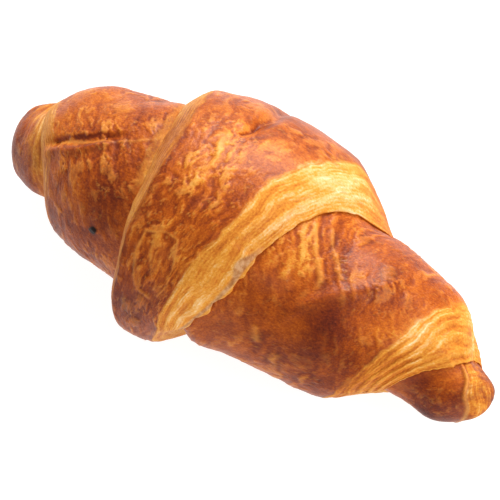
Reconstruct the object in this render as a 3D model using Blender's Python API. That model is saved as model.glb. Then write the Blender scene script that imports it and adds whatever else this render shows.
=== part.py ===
"""A baked butter croissant, lying on its own flattened base. Metres, Z up."""
import bmesh
import bpy
import numpy as np

# How the sizes below are given
# All lengths are millimetres and all directions degrees, read off the photograph.
# Station: place along the middle line of the roll, left end negative.
# Angle: place round the roll. 0 faces the front, 90 the top, 180 the back, 270 the table.
MM = 0.001
NAME = "croissant"

# Middle line of the roll: which way it heads and how high it lies, by station
HEADING = [(-88, 8), (-78, 0), (-70, -7), (-60, -8), (-40, -5), (-26, 2), (-14, 3),
           (0, -4), (12, -9), (24, -3), (36, 4), (46, 1), (58, -6), (70, -25), (78, -40)]
HEIGHT = [(-88, 14.5), (-80, 17.5), (-70, 20.7), (-60, 22.5), (-48, 24), (-22, 26), (0, 25.5),
          (20, 22.8), (38, 20.5), (50, 19.5), (60, 18.5), (70, 17), (78, 16)]

# Radius of the roll by station, for the innermost turn that ends in both tips,
# for the second turn and for the outer turn
INNER_TURN = [(-89.3, 10.5), (-84.5, 12), (-79, 14), (-72, 16), (-62, 17), (0, 18), (48, 15),
              (58, 12.7), (66, 11), (72, 9.5), (78, 7)]
SECOND_TURN = [(-79, 15), (-72, 19), (-66, 21), (-62, 22.2), (-54, 24.7), (-46, 26.4), (-38, 27),
               (-20, 29), (0, 30), (14, 28), (24, 25.2), (32, 24.6), (42, 22.8), (52, 19.7),
               (60, 16), (70, 12)]
OUTER_TURN = [(-42, 33), (-34, 35), (-24, 37), (-12, 37), (0, 35.8), (10, 33), (20, 29), (28, 26.5)]
WIDE = 1.06
FLAT = 0.86
LEFT_END = -89.3
RIGHT_END = 77.5
# Length over which each end rounds off
LEFT_CAP = 7.0
RIGHT_CAP = 6.5

# Edges of the dough sheet round the roll, as station by angle.
# A foot is where the cut edge meets the turn below it, a rim is where it meets its own crust.
LEFT_TIP_FOOT = [(-35, -63), (18, -65.3), (43, -68.5), (65, -72.3), (85, -75.5), (110, -78.5),
                 (145, -79), (200, -78), (255, -71), (300, -63.5)]
LEFT_TIP_RIM = [(-35, -56.5), (14, -56.3), (35, -58.5), (50, -62), (68, -67.3), (87, -72),
                (110, -74.5), (145, -75), (200, -74), (255, -67), (300, -58)]
LEFT_FOOT = [(-35, -31), (-7, -30), (23, -28.8), (42, -29.7), (64, -30.3), (84, -32.3),
             (104, -35.3), (139, -43), (200, -47), (250, -42), (290, -34)]
LEFT_RIM = [(-35, -26.5), (0, -25.5), (18, -24.8), (38, -25.3), (62, -25.4), (85, -25.8),
            (94, -26.6), (120, -31.3), (145, -37), (200, -41), (250, -37), (290, -30)]
RIGHT_RIM = [(-35, -17), (-9, -12), (23, -7), (44, -3.7), (64, -0.7), (90, -0.4), (110, 1.5),
             (135, 4.7), (155, 8), (200, 15), (240, 11), (285, -9)]
RIGHT_FOOT = [(-35, -11), (3, 2), (20, 6.5), (36, 8.7), (56, 9), (72, 9.2), (87, 10.3),
              (106, 12.6), (121, 16), (138, 21), (155, 25), (200, 29), (240, 23), (285, -2)]
RIGHT_TIP_RIM = [(-35, 35), (-5, 40), (19, 44.5), (37, 47.5), (54, 49.7), (69, 51.3), (82, 52),
                 (107, 53.5), (136, 55.5), (200, 58), (250, 53), (290, 41)]
RIGHT_TIP_FOOT = [(-35, 50), (5, 53.8), (22, 56.3), (41, 59.5), (57, 62.3), (72, 64.7), (92, 66),
                  (120, 66.5), (200, 67), (250, 62), (290, 54)]
EDGES = [LEFT_TIP_FOOT, LEFT_TIP_RIM, LEFT_FOOT, LEFT_RIM,
         RIGHT_RIM, RIGHT_FOOT, RIGHT_TIP_RIM, RIGHT_TIP_FOOT]

# Soft swellings and hollows: angle, station, height, reach round the roll, reach along it
SWELLINGS = [
    (115, -80, -3.5, 45, 7), (345, -80, 2.6, 40, 9), (0, -63, -1.2, 30, 5), (120, -40, 0.8, 30, 8),
    (338, -22.5, 2.1, 22, 6.5), (338, 3, 2.4, 22, 9), (150, 20, -1.5, 30, 8), (330, 46, -1.5, 25, 8),
    (150, 66, -3.5, 40, 6), (340, 68, 1.2, 30, 7), (75, -14, 0.6, 18, 7), (35, -42, 0.7, 18, 7),
    (95, 36, 0.6, 16, 8), (40, 34, 0.8, 16, 8)]

# Tear across the left turn, as angle by station: its depth, half width and the lip below it
LEFT_TEAR = [(-68, 49), (-63, 53), (-59, 59), (-55, 63), (-49.5, 71), (-45.5, 78), (-38, 82)]
LEFT_TEAR_FROM = -66
LEFT_TEAR_TO = -41
TEAR_DEPTH = 1.5
TEAR_WIDTH = 1.6
TEAR_LIP = 0.9
# Soft ridge across the right turn, as angle by station
RIGHT_RIDGE = [(18, 25), (23, 44), (25, 52), (28, 63), (34, 75), (43, 94), (50, 110)]
RIGHT_RIDGE_FROM = 21
RIGHT_RIDGE_TO = 45
RIDGE_HEIGHT = 0.9
RIDGE_WIDTH = 4.0
# Dent over the top of the outer turn, as station by angle
TOP_DENT = [(95, -14), (105, -13.7), (115, -13), (126, -12.5), (140, -14), (165, -15)]
TOP_DENT_FROM = 100
TOP_DENT_TO = 160
DENT_DEPTH = 1.7
DENT_WIDTH = 1.8

# Steps of the cut dough layers: how many show on each side, and how proud they stand
LEFT_STEPS = 1
RIGHT_STEPS = 3
STEP_HEIGHT = 0.45
TIP_STEPS = 3
TIP_STEP_HEIGHT = 0.6

# Base: how softly the roll turns into the flat it rests on
BASE_SOFT = 1.2
BASE_FLAT = 0.25

# Mesh: rings along each stretch between edges, and points round each ring
RINGS = [8, 4, 11, 4, 12, 9, 12, 9, 8]
AROUND = 64

# Crust, as the eye sees it in even light
CRUST_COLOUR = (0.46, 0.135, 0.028, 1.0)
CRUST_ROUGHNESS = 0.42


def open_curve(points, at):
    """Smooth curve through (place, value) points, held at its ends."""
    place = np.array([p[0] for p in points], float)
    value = np.array([p[1] for p in points], float)
    gap = np.diff(place)
    rise = np.diff(value) / gap
    slope = np.empty_like(value)
    slope[0] = rise[0]
    slope[-1] = rise[-1]
    slope[1:-1] = (rise[:-1] * gap[1:] + rise[1:] * gap[:-1]) / (gap[:-1] + gap[1:])
    at = np.clip(at, place[0], place[-1])
    i = np.clip(np.searchsorted(place, at, side="right") - 1, 0, len(gap) - 1)
    x = (at - place[i]) / gap[i]
    from_point = (2 * x**3 - 3 * x**2 + 1) * value[i] + (x**3 - 2 * x**2 + x) * gap[i] * slope[i]
    to_point = (3 * x**2 - 2 * x**3) * value[i + 1] + (x**3 - x**2) * gap[i] * slope[i + 1]
    return from_point + to_point


def closed_curve(points, angle):
    """Smooth curve through (angle, value) points that meets itself after a full turn."""
    turn = sorted((p[0] % 360, p[1]) for p in points)
    before = [(a - 360, v) for a, v in turn]
    after = [(a + 360, v) for a, v in turn]
    return open_curve(before + turn + after, np.mod(angle, 360))


def ease(x):
    x = np.clip(x, 0, 1)
    return x * x * (3 - 2 * x)


def middle_line(station):
    """Place, heading and pitch of the middle line of the roll."""
    fine = np.linspace(-92, 92, 737)
    heading = np.radians(open_curve(HEADING, fine))
    step = np.diff(fine)
    x = np.concatenate([[0], np.cumsum((np.cos(heading[1:]) + np.cos(heading[:-1])) / 2 * step)])
    y = np.concatenate([[0], np.cumsum((np.sin(heading[1:]) + np.sin(heading[:-1])) / 2 * step)])
    x = x - np.interp(0, fine, x)
    y = y - np.interp(0, fine, y)
    rise = open_curve(HEIGHT, station + 2) - open_curve(HEIGHT, station - 2)
    return (np.interp(station, fine, x), np.interp(station, fine, y), open_curve(HEIGHT, station),
            np.radians(open_curve(HEADING, station)), np.arctan2(rise, 4.0))


def along(points, start, end, angle, station, radius):
    """Distance round the roll from a line that runs along it, and how strongly it shows."""
    line = open_curve(points, station)
    across = np.radians((angle - line + 180) % 360 - 180) * radius
    show = ease((station - start) / 4) * ease((end - station) / 6)
    return across, show


def relief(angle, station, radius):
    """Swellings, tear, ridge and dent, added to the plain radius."""
    out = np.zeros_like(station)
    for a, s, height, reach, length in SWELLINGS:
        off = (angle - a + 180) % 360 - 180
        out += height * np.exp(-(off / reach)**2 - ((station - s) / length)**2)
    across, show = along(LEFT_TEAR, LEFT_TEAR_FROM, LEFT_TEAR_TO, angle, station, radius)
    out -= show * TEAR_DEPTH * np.exp(-((across - 0.6) / TEAR_WIDTH)**2)
    out += show * TEAR_LIP * np.exp(-((across + 2.4) / (TEAR_WIDTH * 1.2))**2)
    across, show = along(RIGHT_RIDGE, RIGHT_RIDGE_FROM, RIGHT_RIDGE_TO, angle, station, radius)
    out += show * RIDGE_HEIGHT * np.exp(-(across / RIDGE_WIDTH)**2)
    turned = np.mod(angle, 360)
    show = ease((turned - TOP_DENT_FROM) / 12) * ease((TOP_DENT_TO - turned) / 20)
    off = station - open_curve(TOP_DENT, turned)
    out -= show * DENT_DEPTH * np.exp(-(off / DENT_WIDTH)**2)
    return out


def cut_edge(low, high, foot, rim, x, steps, step_height):
    """Radius of a cut edge, rising from the turn below (x = 0) to its own rim (x = 1)."""
    bottom = open_curve(low, foot)
    top = open_curve(high, rim)
    rise = 0.55 * np.sin(x * np.pi / 2) + 0.45 * x
    layers = step_height * np.sin(np.pi * x) * np.cos(2 * np.pi * steps * x)
    return bottom + (top - bottom) * rise - layers


def roll(ring, angle):
    """Point of the surface for a ring number (0 left end to 9 right end) and an angle."""
    edges = [np.full_like(angle, LEFT_END)]
    edges += [closed_curve(edge, angle) for edge in EDGES]
    edges += [np.full_like(angle, RIGHT_END)]
    edges = np.array(edges)
    stretch = np.clip(np.floor(ring).astype(int), 0, 8)
    part = ring - stretch
    here = np.arange(len(ring))
    spaced = np.where(stretch == 0, 1 - np.cos(part * np.pi / 2), part)
    spaced = np.where(stretch == 8, np.sin(part * np.pi / 2), spaced)
    lower = edges[stretch, here]
    upper = edges[stretch + 1, here]
    station = lower + (upper - lower) * spaced
    inner = open_curve(INNER_TURN, station)
    second = open_curve(SECOND_TURN, station)
    outer = open_curve(OUTER_TURN, station)
    choices = [
        inner,
        cut_edge(INNER_TURN, SECOND_TURN, lower, upper, part, LEFT_STEPS, 0),
        second,
        cut_edge(SECOND_TURN, OUTER_TURN, lower, upper, part, LEFT_STEPS, STEP_HEIGHT),
        outer,
        cut_edge(SECOND_TURN, OUTER_TURN, upper, lower, 1 - part, RIGHT_STEPS, STEP_HEIGHT),
        second,
        cut_edge(INNER_TURN, SECOND_TURN, upper, lower, 1 - part, TIP_STEPS, TIP_STEP_HEIGHT),
        inner]
    radius = np.choose(stretch, choices)
    radius = radius + relief(angle, station, radius) * ease(ring / 0.3) * ease((9 - ring) / 0.3)
    from_left = np.clip((station - LEFT_END) / LEFT_CAP, 0, 1)
    from_right = np.clip((RIGHT_END - station) / RIGHT_CAP, 0, 1)
    radius = radius * np.sqrt(1 - (1 - from_left)**2) * np.sqrt(1 - (1 - from_right)**2)
    x, y, z, heading, pitch = middle_line(station)
    back = -np.cos(np.radians(angle)) * radius * WIDE
    up = np.sin(np.radians(angle)) * radius * FLAT
    px = x - np.sin(heading) * back - np.cos(heading) * np.sin(pitch) * up
    py = y + np.cos(heading) * back - np.sin(heading) * np.sin(pitch) * up
    pz = z + np.cos(pitch) * up
    soft = BASE_SOFT * np.log1p(np.exp(np.clip(pz / BASE_SOFT, -40, 40)))
    pz = np.where(pz < 4 * BASE_SOFT, soft, pz)
    pz = np.where(pz < BASE_FLAT, 0, pz)
    return np.stack([px, py, pz], axis=-1)


def ring_numbers():
    """Ring number of every row of points from the left end to the right end."""
    rows = [0.0]
    for stretch, count in enumerate(RINGS):
        rows += [stretch + (k + 1) / count for k in range(count)]
    return np.array(rows)


def build():
    for old in list(bpy.data.objects):
        bpy.data.objects.remove(old)
    rows = ring_numbers()
    segments = len(rows) - 1
    bm = bmesh.new()
    # A round ball gives closed rings and two closed ends; each of its points is then moved
    # to its place on the roll. The ball's own axis becomes the length of the croissant.
    bmesh.ops.create_uvsphere(bm, u_segments=AROUND, v_segments=segments, radius=1.0)
    ball = np.array([v.co[:] for v in bm.verts])
    row = np.rint(np.arccos(np.clip(-ball[:, 2], -1, 1)) / np.pi * segments).astype(int)
    angle = 180 - np.degrees(np.arctan2(ball[:, 1], ball[:, 0]))
    points = roll(rows[row], angle)
    low = points.min(axis=0)
    high = points.max(axis=0)
    middle = (low + high) / 2
    middle[2] = low[2]
    for vert, point in zip(bm.verts, (points - middle) * MM):
        vert.co = point
    mesh = bpy.data.meshes.new(NAME)
    bm.to_mesh(mesh)
    bm.free()
    mesh.shade_smooth()
    crust = bpy.data.materials.new("baked crust")
    crust.use_nodes = True
    shader = crust.node_tree.nodes["Principled BSDF"]
    shader.inputs["Base Color"].default_value = CRUST_COLOUR
    shader.inputs["Roughness"].default_value = CRUST_ROUGHNESS
    shader.inputs["Metallic"].default_value = 0.0
    mesh.materials.append(crust)
    piece = bpy.data.objects.new(NAME, mesh)
    group = bpy.data.collections.new(NAME)
    group.objects.link(piece)
    bpy.context.scene.collection.children.link(group)


build()
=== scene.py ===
# %% [markdown]
# # A butter croissant, one turn of dough at a time
#
# A croissant is a long triangle of laminated dough, which is dough folded with butter into
# many thin sheets. The triangle is rolled up from its wide side, so each turn lies on the one
# below, and the cut sides of the triangle show as pale layered steps between glossy crusts.
#
# It could be sculpted as one lump. Here every visible turn is its own closed piece, laid over
# the turn below as the baker's hands laid it, because then the dark gaps under the steps come
# by themselves. The first cell loads the solid that all of it has to fit.

# %% Load the frame
import math
from itertools import product

import bpy
import numpy as np
from mathutils import Matrix, Vector


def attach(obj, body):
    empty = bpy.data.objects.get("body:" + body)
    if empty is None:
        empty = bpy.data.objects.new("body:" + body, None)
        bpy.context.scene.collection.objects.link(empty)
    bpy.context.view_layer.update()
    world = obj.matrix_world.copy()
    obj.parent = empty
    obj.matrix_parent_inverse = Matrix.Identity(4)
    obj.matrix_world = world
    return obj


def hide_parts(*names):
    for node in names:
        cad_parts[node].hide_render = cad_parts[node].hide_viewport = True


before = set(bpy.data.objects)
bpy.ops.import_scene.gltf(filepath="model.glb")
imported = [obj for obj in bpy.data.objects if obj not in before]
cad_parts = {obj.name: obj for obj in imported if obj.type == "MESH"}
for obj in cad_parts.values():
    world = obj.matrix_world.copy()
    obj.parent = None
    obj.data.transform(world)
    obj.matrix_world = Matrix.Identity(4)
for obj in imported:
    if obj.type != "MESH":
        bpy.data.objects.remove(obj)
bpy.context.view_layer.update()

# %% [markdown]
# ## The shape in numbers
#
# Lengths are in millimetres and directions in degrees. "Station" is the distance along the
# middle line of the roll, with the left end negative. "Angle" goes round the roll: 0 faces
# the front, 90 the top, 180 the back and 270 the table.
#
# These are the same numbers that shape the solid, so the two agree. A mesh could also be read
# from the solid and subdivided, but its coarse rings would then show through the fine detail.

# %% Sizes of the roll
MM = 0.001
HEADING = [(-88, 8), (-78, 0), (-70, -7), (-60, -8), (-40, -5), (-26, 2), (-14, 3),
           (0, -4), (12, -9), (24, -3), (36, 4), (46, 1), (58, -6), (70, -25), (78, -40)]
HEIGHT = [(-88, 14.5), (-80, 17.5), (-70, 20.7), (-60, 22.5), (-48, 24), (-22, 26), (0, 25.5),
          (20, 22.8), (38, 20.5), (50, 19.5), (60, 18.5), (70, 17), (78, 16)]
INNER_TURN = [(-89.3, 10.5), (-84.5, 12), (-79, 14), (-72, 16), (-62, 17), (0, 18), (48, 15),
              (58, 12.7), (66, 11), (72, 9.5), (78, 7)]
SECOND_TURN = [(-79, 15), (-72, 19), (-66, 21), (-62, 22.2), (-54, 24.7), (-46, 26.4), (-38, 27),
               (-20, 29), (0, 30), (14, 28), (24, 25.2), (32, 24.6), (42, 22.8), (52, 19.7),
               (60, 16), (70, 12)]
OUTER_TURN = [(-42, 33), (-34, 35), (-24, 37), (-12, 37), (0, 35.8), (10, 33), (20, 29), (28, 26.5)]
WIDE = 1.06
FLAT = 0.86
LEFT_END = -89.3
RIGHT_END = 77.5
LEFT_CAP = 7.0
RIGHT_CAP = 6.5
BASE_SOFT = 1.2
BASE_FLAT = 0.25

# %% [markdown]
# ## Where the dough sheet ends
#
# Every step in the roll has two lines round it. The foot is where the cut side of the dough
# meets the turn below, and the rim is where it meets its own crust. Each line is a handful of
# stations by angle, read off the photograph and joined by a smooth curve that closes on itself.

# %% Feet and rims
LEFT_TIP_FOOT = [(-35, -63), (18, -65.3), (43, -68.5), (65, -72.3), (85, -75.5), (110, -78.5),
                 (145, -79), (200, -78), (255, -71), (300, -63.5)]
LEFT_TIP_RIM = [(-35, -56.5), (14, -56.3), (35, -58.5), (50, -62), (68, -67.3), (87, -72),
                (110, -74.5), (145, -75), (200, -74), (255, -67), (300, -58)]
LEFT_FOOT = [(-35, -31), (-7, -30), (23, -28.8), (42, -29.7), (64, -30.3), (84, -32.3),
             (104, -35.3), (139, -43), (200, -47), (250, -42), (290, -34)]
LEFT_RIM = [(-35, -26.5), (0, -25.5), (18, -24.8), (38, -25.3), (62, -25.4), (85, -25.8),
            (94, -26.6), (120, -31.3), (145, -37), (200, -41), (250, -37), (290, -30)]
RIGHT_RIM = [(-35, -17), (-9, -12), (23, -7), (44, -3.7), (64, -0.7), (90, -0.4), (110, 1.5),
             (135, 4.7), (155, 8), (200, 15), (240, 11), (285, -9)]
RIGHT_FOOT = [(-35, -11), (3, 2), (20, 6.5), (36, 8.7), (56, 9), (72, 9.2), (87, 10.3),
              (106, 12.6), (121, 16), (138, 21), (155, 25), (200, 29), (240, 23), (285, -2)]
RIGHT_TIP_RIM = [(-35, 35), (-5, 40), (19, 44.5), (37, 47.5), (54, 49.7), (69, 51.3), (82, 52),
                 (107, 53.5), (136, 55.5), (200, 58), (250, 53), (290, 41)]
RIGHT_TIP_FOOT = [(-35, 50), (5, 53.8), (22, 56.3), (41, 59.5), (57, 62.3), (72, 64.7), (92, 66),
                  (120, 66.5), (200, 67), (250, 62), (290, 54)]


def open_curve(points, at):
    """Smooth curve through (place, value) points, held at its ends."""
    place = np.array([p[0] for p in points], float)
    value = np.array([p[1] for p in points], float)
    gap = np.diff(place)
    rise = np.diff(value) / gap
    slope = np.empty_like(value)
    slope[0] = rise[0]
    slope[-1] = rise[-1]
    slope[1:-1] = (rise[:-1] * gap[1:] + rise[1:] * gap[:-1]) / (gap[:-1] + gap[1:])
    at = np.clip(at, place[0], place[-1])
    i = np.clip(np.searchsorted(place, at, side="right") - 1, 0, len(gap) - 1)
    x = (at - place[i]) / gap[i]
    from_point = (2 * x**3 - 3 * x**2 + 1) * value[i] + (x**3 - 2 * x**2 + x) * gap[i] * slope[i]
    to_point = (3 * x**2 - 2 * x**3) * value[i + 1] + (x**3 - x**2) * gap[i] * slope[i + 1]
    return from_point + to_point


def closed_curve(points, angle):
    """Smooth curve through (angle, value) points that meets itself after a full turn."""
    turn = sorted((p[0] % 360, p[1]) for p in points)
    before = [(a - 360, v) for a, v in turn]
    after = [(a + 360, v) for a, v in turn]
    return open_curve(before + turn + after, np.mod(angle, 360))


def ease(x):
    """Goes from 0 to 1 with a soft start and end."""
    x = np.clip(x, 0, 1)
    return x * x * (3 - 2 * x)


# %% [markdown]
# ## Swellings, a tear, a ridge and a dent
#
# Dough rises unevenly. Soft swellings are bell curves in angle and station. The tear across
# the left turn, the ridge across the right one and the dent over the top are lines with a
# profile across them. All of them are added to the radius, so they are real form. The second
# list holds what the solid leaves out: where the dough settled by up to two millimetres. The
# ridge is also 0.3 mm higher here and a little narrower.

# %% Uneven form of the roll
# Each place: angle, station, height in mm, reach round in degrees, reach along in mm
SWELLINGS = [
    (115, -80, -3.5, 45, 7), (345, -80, 2.6, 40, 9), (0, -63, -1.2, 30, 5), (120, -40, 0.8, 30, 8),
    (338, -22.5, 2.1, 22, 6.5), (338, 3, 2.4, 22, 9), (150, 20, -1.5, 30, 8), (330, 46, -1.5, 25, 8),
    (150, 66, -3.5, 40, 6), (340, 68, 1.2, 30, 7), (75, -14, 0.6, 18, 7), (35, -42, 0.7, 18, 7),
    (95, 36, 0.6, 16, 8), (40, 34, 0.8, 16, 8)]
SETTLED = [
    (87, -71, -1.1, 20, 3.5), (122, -65, 1.1, 22, 5), (127, -50, -0.9, 20, 5), (352, -81, -1.0, 35, 6),
    (348, -22, -0.8, 16, 5), (338, -12, -1.2, 14, 4.5), (155, 13, -1.2, 16, 5), (143, 54, 1.1, 18, 5),
    (158, 63, -1.5, 18, 4), (129, 76, -1.0, 30, 4), (306, 45, -0.9, 20, 7), (328, 22, 0.9, 22, 8),
    (330, -45, -0.6, 30, 14), (150, 4, 0.8, 12, 4), (118, -86.5, 1.1, 30, 3), (120, -78, -1.9, 26, 3.5),
    (235, 75, -1.8, 32, 3.5), (110, 77, -0.8, 30, 2.5), (300, 72, 0.6, 25, 5), (172, 61, -0.8, 20, 5)]
LEFT_TEAR = [(-68, 49), (-63, 53), (-59, 59), (-55, 63), (-49.5, 71), (-45.5, 78), (-38, 82)]
RIGHT_RIDGE = [(18, 25), (23, 44), (25, 52), (28, 63), (34, 75), (43, 94), (50, 110)]
TOP_DENT = [(95, -14), (105, -13.7), (115, -13), (126, -12.5), (140, -14), (165, -15)]
TEAR_FROM = -66
TEAR_TO = -41
TEAR_DEPTH = 1.5
TEAR_LIP = 0.9
RIDGE_FROM = 21
RIDGE_TO = 45
RIDGE_HEIGHT = 1.2
DENT_FROM = 100
DENT_TO = 160
DENT_DEPTH = 1.7


def turned(angle, middle=0.0):
    """Degrees from middle, between -180 and 180."""
    return np.mod(angle - middle + 180, 360) - 180


def along(points, start, end, angle, station, radius):
    """Distance round the roll from a line that runs along it, and how strongly it shows."""
    across = np.radians(turned(angle, open_curve(points, station))) * radius
    show = ease((station - start) / 4) * ease((end - station) / 6)
    return across, show


def form(angle, station, radius):
    """Swellings, tear, ridge and dent, as millimetres added to the plain radius."""
    out = np.zeros_like(station)
    for a, s, height, reach, length in SWELLINGS + SETTLED:
        out += height * np.exp(-(turned(angle, a) / reach)**2 - ((station - s) / length)**2)
    across, show = along(LEFT_TEAR, TEAR_FROM, TEAR_TO, angle, station, radius)
    out -= show * TEAR_DEPTH * np.exp(-((across - 0.6) / 1.6)**2)
    out += show * TEAR_LIP * np.exp(-((across + 2.4) / 1.9)**2)
    across, show = along(RIGHT_RIDGE, RIDGE_FROM, RIDGE_TO, angle, station, radius)
    out += show * RIDGE_HEIGHT * np.exp(-(across / 3.4)**2)
    round_angle = np.mod(angle, 360)
    show = ease((round_angle - DENT_FROM) / 12) * ease((DENT_TO - round_angle) / 20)
    out -= show * DENT_DEPTH * np.exp(-((station - open_curve(TOP_DENT, round_angle)) / 1.8)**2)
    return out


# %% [markdown]
# ## From station, angle and radius to a point
#
# The middle line wanders a little left and right and dips towards both ends. A point of the
# surface stands out from it at right angles, and whatever would sink below the table is
# softly flattened, as the tray flattens the dough while it bakes.

# %% The middle line
def middle_line(station):
    """Place, heading and pitch of the middle line of the roll."""
    fine = np.linspace(-92, 92, 737)
    heading = np.radians(open_curve(HEADING, fine))
    step = np.diff(fine)
    x = np.concatenate([[0], np.cumsum((np.cos(heading[1:]) + np.cos(heading[:-1])) / 2 * step)])
    y = np.concatenate([[0], np.cumsum((np.sin(heading[1:]) + np.sin(heading[:-1])) / 2 * step)])
    x = x - np.interp(0, fine, x)
    y = y - np.interp(0, fine, y)
    rise = open_curve(HEIGHT, station + 2) - open_curve(HEIGHT, station - 2)
    return (np.interp(station, fine, x), np.interp(station, fine, y), open_curve(HEIGHT, station),
            np.radians(open_curve(HEADING, station)), np.arctan2(rise, 4.0))


def place(station, angle, radius):
    """Points in millimetres, before they are centred over the origin."""
    x, y, z, heading, pitch = middle_line(station)
    back = -np.cos(np.radians(angle)) * radius * WIDE
    up = np.sin(np.radians(angle)) * radius * FLAT
    px = x - np.sin(heading) * back - np.cos(heading) * np.sin(pitch) * up
    py = y + np.cos(heading) * back - np.sin(heading) * np.sin(pitch) * up
    pz = z + np.cos(pitch) * up
    soft = BASE_SOFT * np.log1p(np.exp(np.clip(pz / BASE_SOFT, -40, 40)))
    pz = np.where(pz < 4 * BASE_SOFT, soft, pz)
    pz = np.where(pz < BASE_FLAT, 0, pz)
    return np.stack([px, py, pz], axis=-1)


# %% [markdown]
# ## Seeded noise
#
# Crust is never smooth: it puckers, blisters and crackles. Blender's noise textures can push
# vertices, but then the colour can't easily follow the same bumps. So the noise is worked out
# here, once, and is used for the form and handed to the material as marks on the mesh.
# It is gradient noise: random slopes on a grid of points, blended smoothly between them.

# %% Gradient noise
dice = np.random.default_rng(11)
SHUFFLE = dice.permutation(256)
SLOPES = dice.normal(size=(256, 3))
SLOPES /= np.linalg.norm(SLOPES, axis=1, keepdims=True)


def noise(points, size, seed=0):
    """Smooth noise of about -1 to 1. size is the spacing of its bumps in mm, one for each axis."""
    p = points / np.asarray(size, float) + seed * 17.31
    cell = np.floor(p).astype(int)
    part = p - cell
    fade = part**3 * (part * (part * 6 - 15) + 10)
    total = np.zeros(p.shape[:-1])
    for corner in product((0, 1), repeat=3):
        c = cell + corner
        pick = SHUFFLE[(c[..., 0] + seed * 31) & 255]
        pick = SHUFFLE[(pick + c[..., 1]) & 255]
        pick = SHUFFLE[(pick + c[..., 2]) & 255]
        slope = (SLOPES[pick] * (part - corner)).sum(axis=-1)
        weight = np.where(corner, fade, 1 - fade).prod(axis=-1)
        total += slope * weight
    return total * 1.7


def skin(across, angle, radius):
    """A place on the rolled skin, in millimetres, that has no seam round the roll."""
    turn = np.radians(angle)
    return np.stack([across, radius * np.cos(turn), radius * np.sin(turn)], axis=-1)


def line_distance(points, angle, station, radius):
    """Distance in mm along the skin from a line of (angle, station) points."""
    nearest = np.full(station.shape, 1e6)
    scale = np.radians(1) * radius
    for (a0, s0), (a1, s1) in zip(points[:-1], points[1:]):
        px = turned(angle, a0) * scale
        py = station - s0
        dx = (a1 - a0) * scale
        dy = s1 - s0
        t = np.clip((px * dx + py * dy) / (dx * dx + dy * dy + 1e-9), 0, 1)
        nearest = np.minimum(nearest, np.hypot(px - t * dx, py - t * dy))
    return nearest


# %% [markdown]
# ## Veins, blisters, bakes and painted shade that can be named
#
# Some marks are too clear to leave to chance: the long veins on the right turn, a flap of
# loose skin low on the outer turn, flat blisters, the places where the oven browned
# the crust more or less, and painted shade low on the front, under the right ridge and in the
# grooves. A painted picture could hold them, but it would fix their size in
# pixels. So they are lines and soft spots, given by angle and station on each turn.

# %% Named marks on the crust
# Each vein: points of (angle, station), half width in mm, height in mm (dark if negative; a dark line is
# painted shade in the groove it cuts)
VEINS = {
    "right_turn": [
        ([(93, 13), (88, 16), (80, 20), (72, 24), (66, 25)], 0.8, 0.32),
        ([(100, 17), (92, 20.5), (85, 25), (78, 28)], 0.7, 0.30),
        ([(65, 12.2), (71, 13.2), (79, 14.6)], 0.5, 0.15),
        ([(22, 18.3), (18, 19.0), (13, 19.5)], 0.9, 0.30),
        ([(2, 24), (9, 25)], 0.9, 0.30)],
    "outer_turn": [
        ([(44, -21), (34, -21.5), (24, -20.8), (16, -18.5), (14, -15)], 0.6, 0.25),
        ([(44, -21), (47, -16), (46, -12), (36, -10), (24, -9.6), (17, -12)], 0.5, 0.20),
        ([(40, -18), (32, -17), (24, -15)], 0.5, 0.15),
        ([(103, -14), (108, -13), (115, -13.2)], 0.6, -1.0)],
    "left_turn": [
        # The first line is painted shade in the gap above the lip of the tear; the second is its pale crumbly
        # lip
        ([(57, -62.5), (60, -61.2), (63.5, -59.2), (66, -57.2), (69, -54.6), (73, -51.6), (77, -49.6),
          (78, -48.4), (75.5, -47.4)], 0.7, -0.5),
        ([(58, -60.0), (62, -57.6), (65.5, -54.2), (69, -50.6), (72.5, -48.6)], 0.75, 0.35),
        ([(72, -48), (76, -44), (82, -40), (89, -35.6)], 0.65, 0.15),
        ([(111, -40.5), (106, -39.0), (102, -37.8)], 0.6, -0.6)]}
# Burnt crumbs: angle, station, half width in mm
CRUMBS = {"left_turn": [(20.3, -37.4, 0.9), (22.0, -37.0, 0.8)]}
# Blisters: angle, station, reach round in degrees, reach along in mm, height in mm
BLISTERS = {
    "right_turn": [(113, 25, 6, 1.6, 0.35), (98, 38, 7, 2.2, 0.35)],
    "outer_turn": [(3, -21, 4, 1.4, 0.3), (10, -17, 4, 1.3, 0.3), (352, -19, 4, 1.3, 0.3)],
    "left_turn": [(100, -52, 6, 2.5, 0.3)]}
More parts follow.
